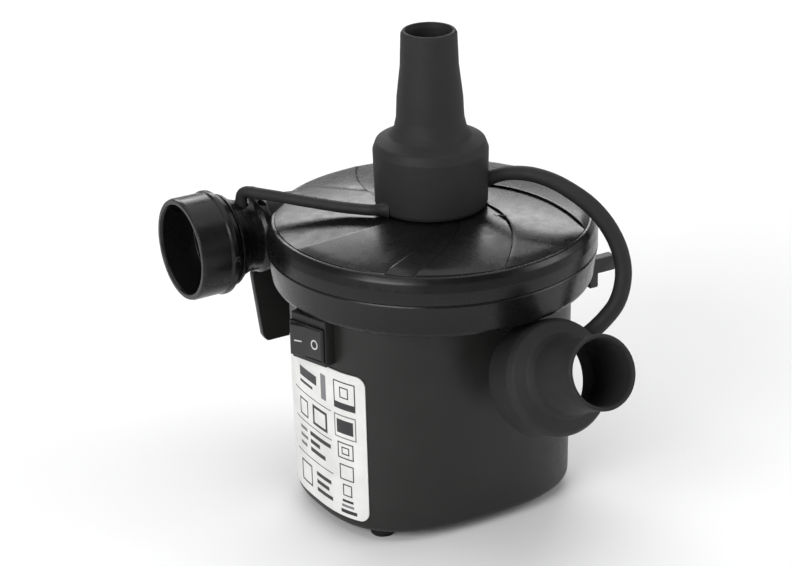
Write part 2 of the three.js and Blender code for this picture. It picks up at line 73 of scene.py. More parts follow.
# Motor housing: a rounded oblong that leans out towards its rim
BODY_X = -1
HALF_WIDTH, HALF_DEPTH = 46, 37.7
BODY_POWER = 2.7
BODY_BOTTOM, RIM = 3, 80
BODY_DRAFT = 0.9
WALL = 2.2
BODY_COLUMNS = 192

# Drum, its seam and its domed lid
SEAM = 91.5
SEAM_GAP = 0.07  # on each side of the seam
DRUM_RADIUS = 55.8
LID_RADIUS = 52.7
HUB_RADIUS = 19

# Side outlet
DUCT_Y = 39.2
COLLAR_FACE = -75.1

# Switch pad: middle of its face, and the direction that it faces
PAD = (-52.95, -8.4, 70.7)
PAD_FACING = 198
PAD_HALF_WIDTH = 7.6
ROCKER_TILT = 9
ROCKER_PIN_DEPTH = 1

# Label, in degrees round the housing and in height
LABEL_FROM, LABEL_TO = 152.5, 212
LABEL_BOTTOM, LABEL_TOP = 7, 60.8

# Short nozzle: middle of its skirt's end, and how far it points up
SHORT_PLACE = (11.6, -47.6, 55.7)
SHORT_RISE = 25

# Routes of the straps, from end to end
LEFT_STRAP = [
    (-50.3, 34.2, 108.6), (-49.0, 32.4, 108.5), (-47.4, 30.2, 108.5), (-45.4, 27.5, 108.5),
    (-43.2, 24.5, 108.4), (-40.8, 21.3, 108.2), (-38.3, 18.2, 108.0), (-35.7, 15.0, 107.8),
    (-33.1, 11.9, 107.6), (-30.6, 9.0, 107.4), (-28.3, 6.5, 107.3), (-26.3, 4.3, 107.3),
    (-24.5, 2.3, 107.3), (-22.4, 0.4, 107.3), (-19.9, -0.8, 107.3),
]
RIGHT_STRAP = [
    (17.5, -10.1, 113.9), (19.5, -12.0, 114.9), (21.9, -15.0, 116.0), (25.9, -20.7, 116.6),
    (30.5, -26.2, 115.2), (34.6, -31.4, 112.4), (39.0, -36.6, 108.0), (42.4, -41.0, 102.4),
    (44.6, -44.9, 95.5), (44.8, -48.0, 88.5), (42.9, -50.2, 82.5), (39.6, -51.4, 77.3),
    (35.4, -51.1, 73.0), (31.9, -50.4, 70.0), (29.1, -49.9, 68.1),
]

# The cord's hole and its gland, whose outlines are turned about the frame's Y
GLAND_TURN = Matrix.Translation((12, 0, 16)) @ Matrix.Rotation(-math.pi / 2, 4, "X")

# Camera: degrees round the part, down and rolled, then its lens and its place
CAMERA_ROUND, CAMERA_DOWN, CAMERA_ROLL = 30, 23.38, 1.24
LENS, SENSOR = 118.2, 36
CAMERA_PLACE = (-416.0, -695.6, 426.5)


def place(x, y, z):
    return AXIS + Vector((x, y, z)) * MM


# ------------------------------------------------------------------ camera
def make_camera():
    """Looks down at the front and the label's side."""
    turn, down, roll = (math.radians(angle) for angle in (CAMERA_ROUND, CAMERA_DOWN, CAMERA_ROLL))
    forward = Vector((math.cos(down) * math.sin(turn), math.cos(down) * math.cos(turn), -math.sin(down)))
    right = forward.cross(Vector((0, 0, 1))).normalized()
    up = right.cross(forward)
    rolled_right = math.cos(roll) * right - math.sin(roll) * up
    rolled_up = math.sin(roll) * right + math.cos(roll) * up
    data = bpy.data.cameras.new("camera")
    data.sensor_width = SENSOR
    data.lens = LENS
    camera = bpy.data.objects.new("camera", data)
    bpy.context.scene.collection.objects.link(camera)
    camera.matrix_world = Matrix((rolled_right, rolled_up, -forward)).transposed().to_4x4()
    camera.location = place(*CAMERA_PLACE)
    bpy.context.scene.camera = camera


make_camera()


# ------------------------------------------------------------------ materials
def new_material(name):
    material = bpy.data.materials.new(name)
    material.use_nodes = True
    nodes = material.node_tree.nodes
    return material, nodes, material.node_tree.links, nodes["Principled BSDF"]


def object_noise(nodes, links, scale, detail=2.0, stretch=(1, 1, 1)):
    """Noise in the piece's own coordinates, in features per metre."""
    coordinates = nodes.new("ShaderNodeTexCoord")
    mapping = nodes.new("ShaderNodeMapping")
    mapping.inputs["Scale"].default_value = stretch
    noise = nodes.new("ShaderNodeTexNoise")
    noise.inputs["Scale"].default_value = scale
    noise.inputs["Detail"].default_value = detail
    links.new(coordinates.outputs["Object"], mapping.inputs["Vector"])
    links.new(mapping.outputs["Vector"], noise.inputs["Vector"])
    return noise.outputs["Fac"]


def spread(nodes, links, value, low, high, source=(0.3, 0.7)):
    """A value's source range, laid out over low to high."""
    span = nodes.new("ShaderNodeMapRange")
    span.inputs["From Min"].default_value, span.inputs["From Max"].default_value = source
    span.inputs["To Min"].default_value, span.inputs["To Max"].default_value = low, high
    links.new(value, span.inputs["Value"])
    return span.outputs["Result"]


def mixed(nodes, links, share, first, second):
    """From the first colour to the second, by a share; either may be a socket."""
    mix = nodes.new("ShaderNodeMix")
    mix.data_type = "RGBA"
    links.new(share, mix.inputs["Factor"])
    for socket, colour in ((mix.inputs["A"], first), (mix.inputs["B"], second)):
        if isinstance(colour, tuple):
            socket.default_value = (*colour, 1)
        else:
            links.new(colour, socket)
    return mix.outputs["Result"]


def bump(nodes, links, shader, layers):
    """Each layer is a height, its depth in metres and its strength."""
    normal = None
    for height, depth, strength in layers:
        node = nodes.new("ShaderNodeBump")
        node.inputs["Distance"].default_value = depth
        node.inputs["Strength"].default_value = strength
        links.new(height, node.inputs["Height"])
        if normal:
            links.new(normal, node.inputs["Normal"])
        normal = node.outputs["Normal"]
    links.new(normal, shader.inputs["Normal"])


def grey(level):
    return (level, level, level)


def moulded(name, colour, worn, roughness, grain, grain_depth, specular=0.5, wave_depth=0.0):
    """Moulded plastic or rubber: fine grain, cloudy sheen, slow sink marks, and paler edges."""
    material, nodes, links, shader = new_material(name)
    cloud = object_noise(nodes, links, 70, 3)
    fine = object_noise(nodes, links, grain, 3)
    sink = object_noise(nodes, links, 38, 1)
    scuff = object_noise(nodes, links, 260, 5)
    paler = tuple(c * 1.25 + 0.0005 for c in colour)
    toned = mixed(nodes, links, spread(nodes, links, cloud, 0, 1), colour, paler)
    edge = nodes.new("ShaderNodeNewGeometry").outputs["Pointiness"]
    edge_share = spread(nodes, links, edge, 0, 0.5, (0.52, 0.62))
    shaded = mixed(nodes, links, edge_share, toned, worn)
    links.new(shaded, shader.inputs["Base Color"])
    low, high = roughness
    dull = spread(nodes, links, cloud, low, high)
    rub = spread(nodes, links, scuff, -0.03, 0.05, (0.35, 0.72))
    total = nodes.new("ShaderNodeMath")
    total.operation = "ADD"
    links.new(dull, total.inputs[0])
    links.new(rub, total.inputs[1])
    links.new(total.outputs[0], shader.inputs["Roughness"])
    shader.inputs["Specular IOR Level"].default_value = specular
    layers = [(fine, grain_depth, 0.6)]
    if wave_depth:
        layers.append((sink, wave_depth, 0.35))
    bump(nodes, links, shader, layers)
    return material


def metal(name, colour, tint, roughness):
    """Drawn or turned metal: hair lines along one way and a slight tarnish."""
    material, nodes, links, shader = new_material(name)
    lines = object_noise(nodes, links, 500, 4, (1, 1, 12))
    tarnish = object_noise(nodes, links, 90, 3)
    toned = mixed(nodes, links, spread(nodes, links, tarnish, 0, 1), colour, tint)
    links.new(toned, shader.inputs["Base Color"])
    links.new(spread(nodes, links, lines, *roughness), shader.inputs["Roughness"])
    shader.inputs["Metallic"].default_value = 1
    bump(nodes, links, shader, [(lines, 0.00004, 0.4)])
    return material


def banded(name, colour, gap, metallic, roughness):
    """Wound wire or stacked sheets: level bands half a millimetre apart, dark between them."""
    pitch = 0.0005
    material, nodes, links, shader = new_material(name)
    coordinates = nodes.new("ShaderNodeTexCoord")
    wave = nodes.new("ShaderNodeTexWave")
    wave.bands_direction = "Z"
    wave.inputs["Scale"].default_value = math.pi / (10 * pitch)
    wave.inputs["Distortion"].default_value = 0.4
    links.new(coordinates.outputs["Object"], wave.inputs["Vector"])
    bands = wave.outputs["Fac"]
    striped = mixed(nodes, links, spread(nodes, links, bands, 0, 1, (0, 0.5)), gap, colour)
    links.new(striped, shader.inputs["Base Color"])
    dull = spread(nodes, links, object_noise(nodes, links, 300, 3), *roughness)
    links.new(dull, shader.inputs["Roughness"])
    shader.inputs["Metallic"].default_value = metallic
    bump(nodes, links, shader, [(bands, pitch * 0.4, 0.7)])
    return material


DRUM_BLACK = moulded("drum_black", (0.0042, 0.0042, 0.0044), (0.02, 0.02, 0.021), (0.24, 0.31),
                     2600, 0.000006, specular=0.3, wave_depth=0.00006)
HOUSING_BLACK = moulded("housing_black", (0.0115, 0.0115, 0.0108), (0.03, 0.03, 0.029), (0.38, 0.46),
                        2200, 0.00002, specular=0.34, wave_depth=0.00008)
SOFT_PVC = moulded("soft_pvc", grey(0.0165), grey(0.035), (0.58, 0.68),
                   1800, 0.00003, specular=0.26, wave_depth=0.00012)
SWITCH_GREY = moulded("switch_grey", (0.022, 0.022, 0.0225), grey(0.05), (0.42, 0.52), 3000, 0.00002, 0.35)
RUBBER = moulded("black_rubber", grey(0.006), grey(0.02), (0.66, 0.8), 1500, 0.00005, 0.25)
NYLON = moulded("white_nylon", (0.66, 0.64, 0.55), (0.74, 0.72, 0.64), (0.38, 0.5), 1600, 0.00003)
CARBON = moulded("carbon", grey(0.018), grey(0.06), (0.55, 0.7), 3000, 0.00004)
YELLOW = moulded("capacitor_yellow", (0.56, 0.34, 0.012), (0.7, 0.5, 0.08), (0.3, 0.42), 1400, 0.00003)
BROWN = moulded("wire_brown", (0.1, 0.034, 0.014), (0.16, 0.07, 0.04), (0.42, 0.52), 1800, 0.00002)
BLUE = moulded("wire_blue", (0.017, 0.08, 0.27), (0.05, 0.14, 0.36), (0.42, 0.52), 1800, 0.00002)
LABEL_FILM = moulded("label_film", (0.66, 0.66, 0.645), (0.72, 0.72, 0.7), (0.34, 0.44), 900, 0.00001, 0.4)
INK = moulded("label_ink", (0.022, 0.022, 0.024), grey(0.05), (0.4, 0.5), 2500, 0.00001, 0.4)
GREY_INK = moulded("label_grey_ink", (0.16, 0.16, 0.165), grey(0.22), (0.4, 0.5), 2500, 0.00001, 0.4)
PALE_INK = moulded("switch_mark", (0.52, 0.52, 0.51), grey(0.6), (0.45, 0.55), 2500, 0.00001, 0.4)
STEEL = metal("steel", (0.42, 0.43, 0.45), (0.3, 0.31, 0.32), (0.28, 0.42))
BRASS = metal("brass", (0.47, 0.3, 0.07), (0.32, 0.18, 0.04), (0.26, 0.4))
LAMINATION = banded("lamination_steel", (0.17, 0.18, 0.19), (0.03, 0.03, 0.035), 0.9, (0.4, 0.55))
COPPER = banded("copper", (0.43, 0.1, 0.03), (0.08, 0.02, 0.008), 0.8, (0.25, 0.38))

SLOT_FINISHES = {
    "drum_black": DRUM_BLACK, "housing_black": HOUSING_BLACK, "soft_pvc": SOFT_PVC,
    "switch_grey": SWITCH_GREY, "black_rubber": RUBBER, "white_nylon": NYLON, "carbon": CARBON,
    "capacitor_yellow": YELLOW, "wire_brown": BROWN, "wire_blue": BLUE, "label_film": LABEL_FILM,
    "steel": STEEL, "brass": BRASS, "lamination_steel": LAMINATION, "copper": COPPER,
}


def finish_cad_nodes():
    """The pieces that the frame brings, in the finish of their slots."""
    slots = {entry["node"]: entry["material_slot"] for entry in frame["record"]["subparts"]}
    for name, node in frame["nodes"].items():
        node.data.materials.clear()
        node.data.materials.append(SLOT_FINISHES[slots[name]])


finish_cad_nodes()


# ------------------------------------------------------------------ mesh helpers
def raw(name, points, faces, turn=Matrix.Identity(4)):
    """A mesh object of points in millimetres about the fan's axis, welded, with its faces out."""
    mesh = bpy.data.meshes.new(name)
    mesh.from_pydata([place(*(turn @ Vector(point))) for point in points], [], faces)
    shape = bmesh.new()
    shape.from_mesh(mesh)
    bmesh.ops.remove_doubles(shape, verts=shape.verts, dist=1e-7)
    bmesh.ops.recalc_face_normals(shape, faces=shape.faces)
    shape.to_mesh(mesh)
    shape.free()
    piece = bpy.data.objects.new(name, mesh)
    bpy.context.scene.collection.objects.link(piece)
    return piece


def dress(piece, body, finish, replaced=(), sharp=32):
    """Shading, material and place in the frame, once the mesh is final."""
    piece.data.shade_smooth()
    piece.data.set_sharp_from_angle(angle=math.radians(sharp))
    piece.data.materials.clear()
    piece.data.materials.append(finish)
    if replaced:
        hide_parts(*replaced)
    if body:
        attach(piece, body)
    return piece


def combine(whole, operation, *tools):
    """Joins tools to a piece, or cuts them out of it."""
    for tool in tools:
        modifier = whole.modifiers.new(operation, "BOOLEAN")
        modifier.operation = operation
        modifier.solver = "EXACT"
        modifier.object = tool
    bpy.context.view_layer.update()
    before = whole.data
    result = bpy.data.meshes.new_from_object(whole.evaluated_get(bpy.context.evaluated_depsgraph_get()))
    whole.modifiers.clear()
    whole.data = result
    bpy.data.meshes.remove(before)
    for tool in tools:
        bpy.data.objects.remove(tool)
    return whole


def rounded(outline, steps=6):
    """A closed outline of (x, y, radius): each corner becomes an arc of about its radius."""
    result = []
    for i, (x, y, radius) in enumerate(outline):
        corner = Vector((x, y))
        to_last = Vector(outline[i - 1][:2]) - corner
        to_next = Vector(outline[(i + 1) % len(outline)][:2]) - corner
        if radius == 0:
            result.append((x, y))
            continue
        half = to_last.angle(to_next) / 2
        reach = min(radius / math.tan(half), 0.48 * to_last.length, 0.48 * to_next.length)
        start, end = corner + to_last.normalized() * reach, corner + to_next.normalized() * reach
        for k in range(steps + 1):
            t = k / steps
            result.append(tuple((1 - t) ** 2 * start + 2 * t * (1 - t) * corner + t * t * end))
    return result


def lathe(name, outline, sides, turn=Matrix.Identity(4)):
    """A closed outline of (radius, height) turned about Z."""
    points, faces = [], []
    count = len(outline)
    for i in range(sides):
        angle = TAU * i / sides
        points += [(r * math.cos(angle), r * math.sin(angle), z) for r, z in outline]
        for j in range(count):
            a, b = i * count + j, i * count + (j + 1) % count
            step = ((i + 1) % sides - i) * count
            faces.append((a, b, b + step, a + step))
    return raw(name, points, faces, turn)


def lofted(name, rings):
    """Closed rings of points, joined by bands and capped at both ends."""
    count = len(rings[0])
    points = [point for ring in rings for point in ring]
    faces = []
    for k in range(len(rings) - 1):
        for i in range(count):
            a, b = k * count + i, k * count + (i + 1) % count
            faces.append((a, b, b + count, a + count))
    last = (len(rings) - 1) * count
    faces += [tuple(range(count)), tuple(range(last, last + count))]
    return raw(name, points, faces)


def column_faces(count):
    """Faces between two rings of points: both ends, then the sides."""
    ends = [tuple(range(count)), tuple(range(count, 2 * count))]
    return ends + [(i, (i + 1) % count, (i + 1) % count + count, i + count) for i in range(count)]


def prism(name, outline, bottom, top, turn=Matrix.Identity(4), bevel=0.0):
    """An outline of (x, y) raised from bottom to top, its edges rounded."""
    points = [(x, y, bottom) for x, y in outline] + [(x, y, top) for x, y in outline]
    piece = raw(name, points, column_faces(len(outline)), turn)
    if bevel:
        soften(piece, bevel)
    return piece


def soften(piece, width):
    """Rounds a piece's sharp edges."""
    shape = bmesh.new()
    shape.from_mesh(piece.data)
    limit = math.radians(25)
    edges = [edge for edge in shape.edges if edge.calc_face_angle(0) > limit]
    bmesh.ops.bevel(shape, geom=edges, offset=width * MM, segments=3, profile=0.5, affect="EDGES")
    shape.to_mesh(piece.data)
    shape.free()


def box(name, low, high, turn=Matrix.Identity(4), bevel=0.0):
    outline = [(low[0], low[1]), (high[0], low[1]), (high[0], high[1]), (low[0], high[1])]
    return prism(name, outline, low[2], high[2], turn, bevel)


def smooth_route(points):
    """A smooth curve through given points."""
    per_span = 6
    ends = [2 * Vector(points[0]) - Vector(points[1])] + [Vector(p) for p in points]
    ends.append(2 * Vector(points[-1]) - Vector(points[-2]))
    route = []
    for i in range(1, len(ends) - 2):
        a, b, c, d = ends[i - 1:i + 3]
        for k in range(per_span):
            t = k / per_span
            route.append(0.5 * (2 * b + (c - a) * t + (2 * a - 5 * b + 4 * c - d) * t * t
                                + (3 * b - a - 3 * c + d) * t ** 3))
    route.append(ends[-2])
    return route


END_BULGE = 0.5


def swept(name, route, radius_at, sides=28, cap=4):
    """A round bar along a route, its radius given by the share of the way along, with rounded ends."""
    lengths = [0.0]
    for a, b in zip(route, route[1:]):
        lengths.append(lengths[-1] + (b - a).length)
    across = (route[1] - route[0]).orthogonal().normalized()
    rings = []
    for i, centre in enumerate(route):
        ahead = (route[min(i + 1, len(route) - 1)] - route[max(i - 1, 0)]).normalized()
        across = (across - ahead * across.dot(ahead)).normalized()
        other = ahead.cross(across)
        turns = [TAU * k / sides for k in range(sides)]
        spokes = [across * math.cos(turn) + other * math.sin(turn) for turn in turns]
        radius = radius_at(lengths[i] / lengths[-1])
        sections = [(0.0, 1.0)]
        if i in (0, len(route) - 1):
            rises = [k / cap * math.pi / 2 for k in range(cap)]
            sections = [(math.sin(rise), math.cos(rise)) for rise in rises]
        if i == 0:
            sections = [(-out, size) for out, size in reversed(sections)]
        for out, size in sections:
            middle = centre + ahead * out * radius * END_BULGE
            rings.append([tuple(middle + spoke * radius * size) for spoke in spokes])
    return lofted(name, rings)


# ------------------------------------------------------------------ straps
def strap(name, node, points, radius_at, roots):
    """A soft bar moulded between two bodies. Its roots sink into them."""
    route = smooth_route([*roots[0], *points, *roots[1]])
    piece = swept(name, route, radius_at)
    dress(piece, None, SOFT_PVC, (node,))
    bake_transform(piece)
    return piece


def left_radius(s):
    """Even, and flared into the tall nozzle."""
    return 1.9 + 0.2 * max(0, 1 - 6 * s) + 1.1 * max(0, (s - 0.93) / 0.07) ** 2


def right_radius(s):
    """Flared out of the tall nozzle, then thin, and thicker from halfway."""
    return 2.25 + 0.6 * min(1, s * 2.4) + 1.0 * max(0, 1 - s / 0.06) ** 2


strap("left_strap", "strap_left", LEFT_STRAP, left_radius,
      ([], [(-18.0, -1.5, 107.3)]))
strap("right_strap", "strap_right", RIGHT_STRAP, right_radius,
      ([(15.6, -8.6, 113.2)], []))


# ------------------------------------------------------------------ motor housing
def body_point(angle, grow, z):
    """A point of the wall at an angle, moved out by grow."""
    across = abs(math.cos(angle) / (HALF_WIDTH + grow)) ** BODY_POWER
    along = abs(math.sin(angle) / (HALF_DEPTH + grow)) ** BODY_POWER
    radius = (across + along) ** (-1 / BODY_POWER)
    return (BODY_X + radius * math.cos(angle), radius * math.sin(angle), z)


def lean(z):
    """How far out the wall is at a height."""
    return BODY_DRAFT * (z - BODY_BOTTOM) / (RIM - BODY_BOTTOM)


def body_fill(name, inset, bottom, top):
    """The oblong, with a rounded bottom edge."""
    corner = 3.0
    turns = [k * math.pi / 16 for k in range(9)]
    levels = []
    for t in reversed(turns):
        levels.append((bottom + corner * (1 - math.sin(t)), -corner * (1 - math.cos(t)) * 0.9))
    levels += [(bottom + corner + (top - bottom - corner) * k / 16, 0) for k in range(1, 17)]
    angles = [TAU * i / BODY_COLUMNS for i in range(BODY_COLUMNS)]
    rings = []
    for z, grow in levels:
        rings.append([body_point(angle, lean(z) + grow - inset, z) for angle in angles])
    return lofted(name, rings)


PAD_TURN = Matrix.Translation(PAD) @ Matrix.Rotation(math.radians(PAD_FACING), 4, "Z")


def motor_housing():
    shell = body_fill("housing_shell", 0, BODY_BOTTOM, RIM - 0.3)
    pad = box("pad", (-10, -PAD_HALF_WIDTH, -7.7), (0, PAD_HALF_WIDTH, 8.7), PAD_TURN, 0.45)
    inside = body_fill("inside", WALL, BODY_BOTTOM + WALL, RIM + 5)
    combine(shell, "UNION", pad)
    cuts = [inside, box("switch_hole", (-16, -6.9, -5.9), (1, 6.9, 5.9), PAD_TURN)]
    cuts.append(lathe("gland_hole", [(0, 30), (6.3, 30), (6.3, 45), (0, 45)], 48, GLAND_TURN))
    for i in range(-3, 4):
        left, right = 5 * i - 3.2, 5 * i - 0.8
        outline = rounded([(left, -12, 1.1), (right, -12, 1.1), (right, 12, 1.1), (left, 12, 1.1)])
        cuts.append(prism(f"vent_{i + 4}", outline, 0, 8))
    combine(shell, "DIFFERENCE", *cuts)
    return dress(shell, "root", HOUSING_BLACK, ("motor_housing",))


motor_housing()


def foot(name, x, y):
    outline = rounded([(0, 0, 0), (3.9, 0, 0.6), (4.3, 1.2, 0.5), (4.3, 3.1, 0), (0, 3.1, 0)])
    piece = lathe(f"{name}_pad", outline, 48, Matrix.Translation((x, y, 0)))
    dress(piece, "root", RUBBER, (name,))


for number, (foot_x, foot_y) in enumerate([(30, 21.5), (-34, 21.5), (-34, -21.5), (30, -21.5)], 1):
    foot(f"foot_{number}", foot_x, foot_y)


# ------------------------------------------------------------------ label
LABEL_WIDTH = 50.6
FILM_BACK, FILM_LIFT = 0.1, 0.42
INK_LIFT, INK_THICKNESS = 0.5, 0.06


def on_label(u, z, lift):
    """A point on the label: u in millimetres from its rear edge, and z its height."""
    angle = math.radians(LABEL_FROM + (LABEL_TO - LABEL_FROM) * u / LABEL_WIDTH)
    return body_point(angle, lean(z) + lift, z)


def sheet_faces(across, along):
    """Faces of a thin sheet: two grids of points, the second behind the first, and the rim between them."""
    row, sheet = across + 1, (across + 1) * (along + 1)
    faces = []
    for j in range(along):
        for i in range(across):
            a = j * row + i
            faces.append((a, a + 1, a + row + 1, a + row))
            faces.append((a + sheet, a + sheet + row, a + sheet + row + 1, a + sheet + 1))
    rim = list(range(row)) + [j * row + across for j in range(1, along + 1)]
    rim += [along * row + i for i in range(across - 1, -1, -1)] + [j * row for j in range(along - 1, 0, -1)]
    for a, b in zip(rim, rim[1:] + rim[:1]):
        faces.append((a, a + sheet, b + sheet, b))
    return faces


def ink_patch(corners):
    """A four-sided mark on the label, bent round the wall; corners are (u, z), in order."""
    across, along = 12, 6
    (ua, za), (ub, zb), (uc, zc), (ud, zd) = corners
    points = []
    for level in (INK_LIFT, INK_LIFT - INK_THICKNESS):
        for j in range(along + 1):
            t = j / along
            for i in range(across + 1):
                s = i / across
                u = (1 - t) * ((1 - s) * ua + s * ub) + t * ((1 - s) * ud + s * uc)
                z = (1 - t) * ((1 - s) * za + s * zb) + t * ((1 - s) * zd + s * zc)
                points.append(on_label(u, z, level))
    return points, sheet_faces(across, along)


def label_film():
    """The film itself: a strip of columns, shorter near its ends so that the corners are round."""
    corner, columns, rows = 3.6, 96, 24
    points = []
    for lift in (FILM_LIFT, FILM_BACK):
        for i in range(columns + 1):
            u = LABEL_WIDTH * (0.5 - 0.5 * math.cos(math.pi * i / columns))
            inner = max(0, corner - min(u, LABEL_WIDTH - u))
            short = corner - math.sqrt(max(0, corner ** 2 - inner ** 2))
            low, high = LABEL_BOTTOM + short, LABEL_TOP - short
            points += [on_label(u, low + (high - low) * j / rows, lift) for j in range(rows + 1)]
    piece = raw("label_sheet", points, sheet_faces(rows, columns))
    return dress(piece, "root", LABEL_FILM, ("rating_label",))


def bar_corners(u0, z0, u1, z1):
    return [(u0, z0), (u1, z0), (u1, z1), (u0, z1)]


def frame_corners(u0, z0, u1, z1, line):
    """The four bars of an outline."""
    return [
        bar_corners(u0, z0, u1, z0 + line), bar_corners(u0, z1 - line, u1, z1),
        bar_corners(u0, z0 + line, u0 + line, z1 - line), bar_corners(u1 - line, z0 + line, u1, z1 - line),
    ]


def printed(name, patches, finish):
    """All the marks of one ink, as one piece."""
    points, faces = [], []
    for corners in patches:
        more, quads = ink_patch(corners)
        faces += [tuple(index + len(points) for index in quad) for quad in quads]
        points += more
    piece = raw(name, points, faces)
    return dress(piece, "root", finish)


def label_print():
    """Plain bars, blocks and outlines in place of any wording or marks."""
    dark = [bar_corners(15, 51, 27, 54.4), bar_corners(15, 48.4, 24, 49.4)]
    for z in (44.8, 33.8, 21.2):
        dark.append(bar_corners(10, z, 35.4, z + 0.25))
    dark += frame_corners(14, 36, 20, 42.4, 0.5) + frame_corners(23.6, 35.6, 33, 43, 1)
    for k, end in enumerate([34.6, 27.6, 31]):
        dark.append(bar_corners(21, 30.4 - 3 * k, end, 31.9 - 3 * k))
    dark += frame_corners(13, 10.4, 21, 18.4, 0.55)
    for k, end in enumerate([34, 32.6, 34.6]):
        dark.append(bar_corners(24.6, 16.6 - 3 * k, end, 18 - 3 * k))
    left, right = 37.4, 46.8
    dark += frame_corners(left, 47.4, right, 57.6, 0.4)
    dark.append(bar_corners(left + 0.4, 47.8, right - 0.4, 49.8))
    dark += frame_corners(left + 2.8, 51.6, right - 2.8, 55.6, 0.4)
    dark.append(bar_corners(left + 1, 38.4, right - 1.2, 43.4))
    dark += frame_corners(left + 1, 29, right - 1.4, 35, 0.4)
    dark += frame_corners(left + 2.8, 30.6, right - 3.2, 33.4, 0.4)
    dark += frame_corners(left + 1.6, 21, right - 1.6, 26.8, 0.4)
    dark += frame_corners(left + 2.8, 15, right - 2.6, 19.4, 0.4)
    dark.append(bar_corners(left + 2.4, 12.6, right - 2.2, 13.5))
    dark.append(bar_corners(left + 1.6, 8.4, right - 0.8, 9.7))
    grey = [bar_corners(30, 47.6, 33, 57)]
    for k, end in enumerate([18.6, 19, 18]):
        grey.append(bar_corners(13.4, 30.4 - 3 * k, end, 31.5 - 3 * k))
    grey += frame_corners(left - 0.2, 36.6, right, 45.2, 0.4)
    grey.append(bar_corners(left + 2, 10.7, right - 2, 11.6))
    printed("label_marks", dark, INK)
    printed("label_grey_marks", grey, GREY_INK)


label_film()
label_print()


# ------------------------------------------------------------------ drum
# Lines across the lid: where each meets the lid's edge, and how far it winds towards the hub
LID_LINES = [(-177, 19), (-138, 27), (-127, 35), (-95, 55), (-48, 76), (-3, 96), (44, 82), (88, 42), (118, 4)]
LINE_STEP = 0.75
# Across each line, from its low side: millimetres off it, share of the step, and groove depth
LINE_PROFILE = [(-0.55, 0.0, 0.0), (-0.3, 0.0, 0.28), (-0.05, 0.1, 0.3), (0.22, 0.92, 0.0), (0.5, 1.0, 0.0)]
SECTOR_COLUMNS = 18


def lid_columns():
    """For each column: angle at the rim, twist, millimetres off its line, step share, groove depth."""
    columns = []
    for i, (start, wind) in enumerate(LID_LINES):
        end, next_wind = LID_LINES[(i + 1) % len(LID_LINES)]
        end += 360 if end < start else 0
        for off, share, groove in LINE_PROFILE:
            columns.append((math.radians(start), math.radians(wind), off, share, groove))
        for k in range(1, SECTOR_COLUMNS):
            t = k / SECTOR_COLUMNS
            rim, twist = start + (end - start) * t, wind + (next_wind - wind) * t
            columns.append((math.radians(rim), math.radians(twist), 0, 1 - t, 0.0))
    return columns


def dome_height(r):
    """The lid's crown: nearly flat at the hub and steeper towards the edge."""
    return 104.8 - 3.65 * (max(r - HUB_RADIUS, 0) / (LID_RADIUS - HUB_RADIUS)) ** 1.75


def lid_lathe(name, outline):
    """Like lathe(), with columns that wind across the lid; marked points take the lines' steps."""
    columns = lid_columns()
    points, faces = [], []
    count = len(outline)
    for i, (rim, twist, off, share, groove) in enumerate(columns):
        for r, z, marked in outline:
            angle = rim + off / LID_RADIUS
            if marked:
                angle = rim + off / max(r, 12) + twist * math.log(LID_RADIUS / max(r, 1))
                fade = min(1, max(0, (r - 16.5) / 5)) * min(1, 0.2 + (LID_RADIUS - r) / 2.5)
                z += (LINE_STEP * share - groove) * fade
            points.append((r * math.cos(angle), r * math.sin(angle), z))
        for j in range(count):
            a, b = i * count + j, i * count + (j + 1) % count
            step = ((i + 1) % len(columns) - i) * count
            faces.append((a, b, b + step, a + step))
    return raw(name, points, faces)


def duct_turn():
    """Turns a lathe's Z to the frame's X, about the duct's axis."""
    return Matrix.Translation((0, DUCT_Y, SEAM)) @ Matrix.Rotation(math.pi / 2, 4, "Y")


# The duct's outlines, as (radius, X, corner radius)
DUCT_OUTSIDE = [
    (0, -64, 0), (14.4, -63, 0.3), (14.4, -59.2, 0.1), (16, -59.2, 0.3), (15.7, -58.2, 0.8),
    (13.5, -55.6, 3), (12.4, -52.4, 4), (12.4, -49, 2), (13.6, -47.9, 1), (13.7, -46.2, 0.8),
    (12.6, -44.4, 1.5), (10.4, -24, 0), (0, -24, 0),
]
DUCT_INSIDE = [(0, -66, 0), (12, -66, 0), (12, -58, 1), (10, -46, 3), (9.3, -26, 0), (0, -26, 0)]


def duct(name, outline):
    return lathe(name, rounded(outline), 96, duct_turn())


def slab(name, bottom, top):
    """A cutter wider than the pump."""
    return box(name, (-90, -90, bottom), (90, 90, top))


def cover_screws():
    """Where the cover's screws stand."""
    places = []
    for angle in (-116.4, -63.6, 63.6, 96):
        places.append((49.4 * math.cos(math.radians(angle)), 49.4 * math.sin(math.radians(angle))))
    return places


def fan_housing():
    inside = [(6, 80, 0), (6, 82.4, 0), (52.2, 82.4, 2), (53.2, SEAM - SEAM_GAP, 0)]
    outside = [
        (DRUM_RADIUS - 0.25, SEAM - SEAM_GAP, 0), (DRUM_RADIUS, SEAM - 0.5, 0),
        (54.3, 81.4, 0.8), (53.6, RIM, 0.8),
    ]
    shell = lathe("drum_lower_half", rounded(inside + outside), 180)
    combine(shell, "UNION", duct("duct_lower", DUCT_OUTSIDE))
    cuts = [duct("bore_lower", DUCT_INSIDE), slab("above", SEAM + SEAM_GAP, 130)]
    cuts.append(lathe("fan_room", [(0, 82.4), (52, 82.4), (52, 100), (0, 100)], 96))
    for i, (x, y) in enumerate(cover_screws()):
        recess = [(0, 79), (3, 79), (3, 82.2), (0, 82.2)]
        cuts.append(lathe(f"recess_{i}", recess, 32, Matrix.Translation((x, y, 0))))
    combine(shell, "DIFFERENCE", *cuts)
    return dress(shell, "root", DRUM_BLACK, ("fan_housing",))


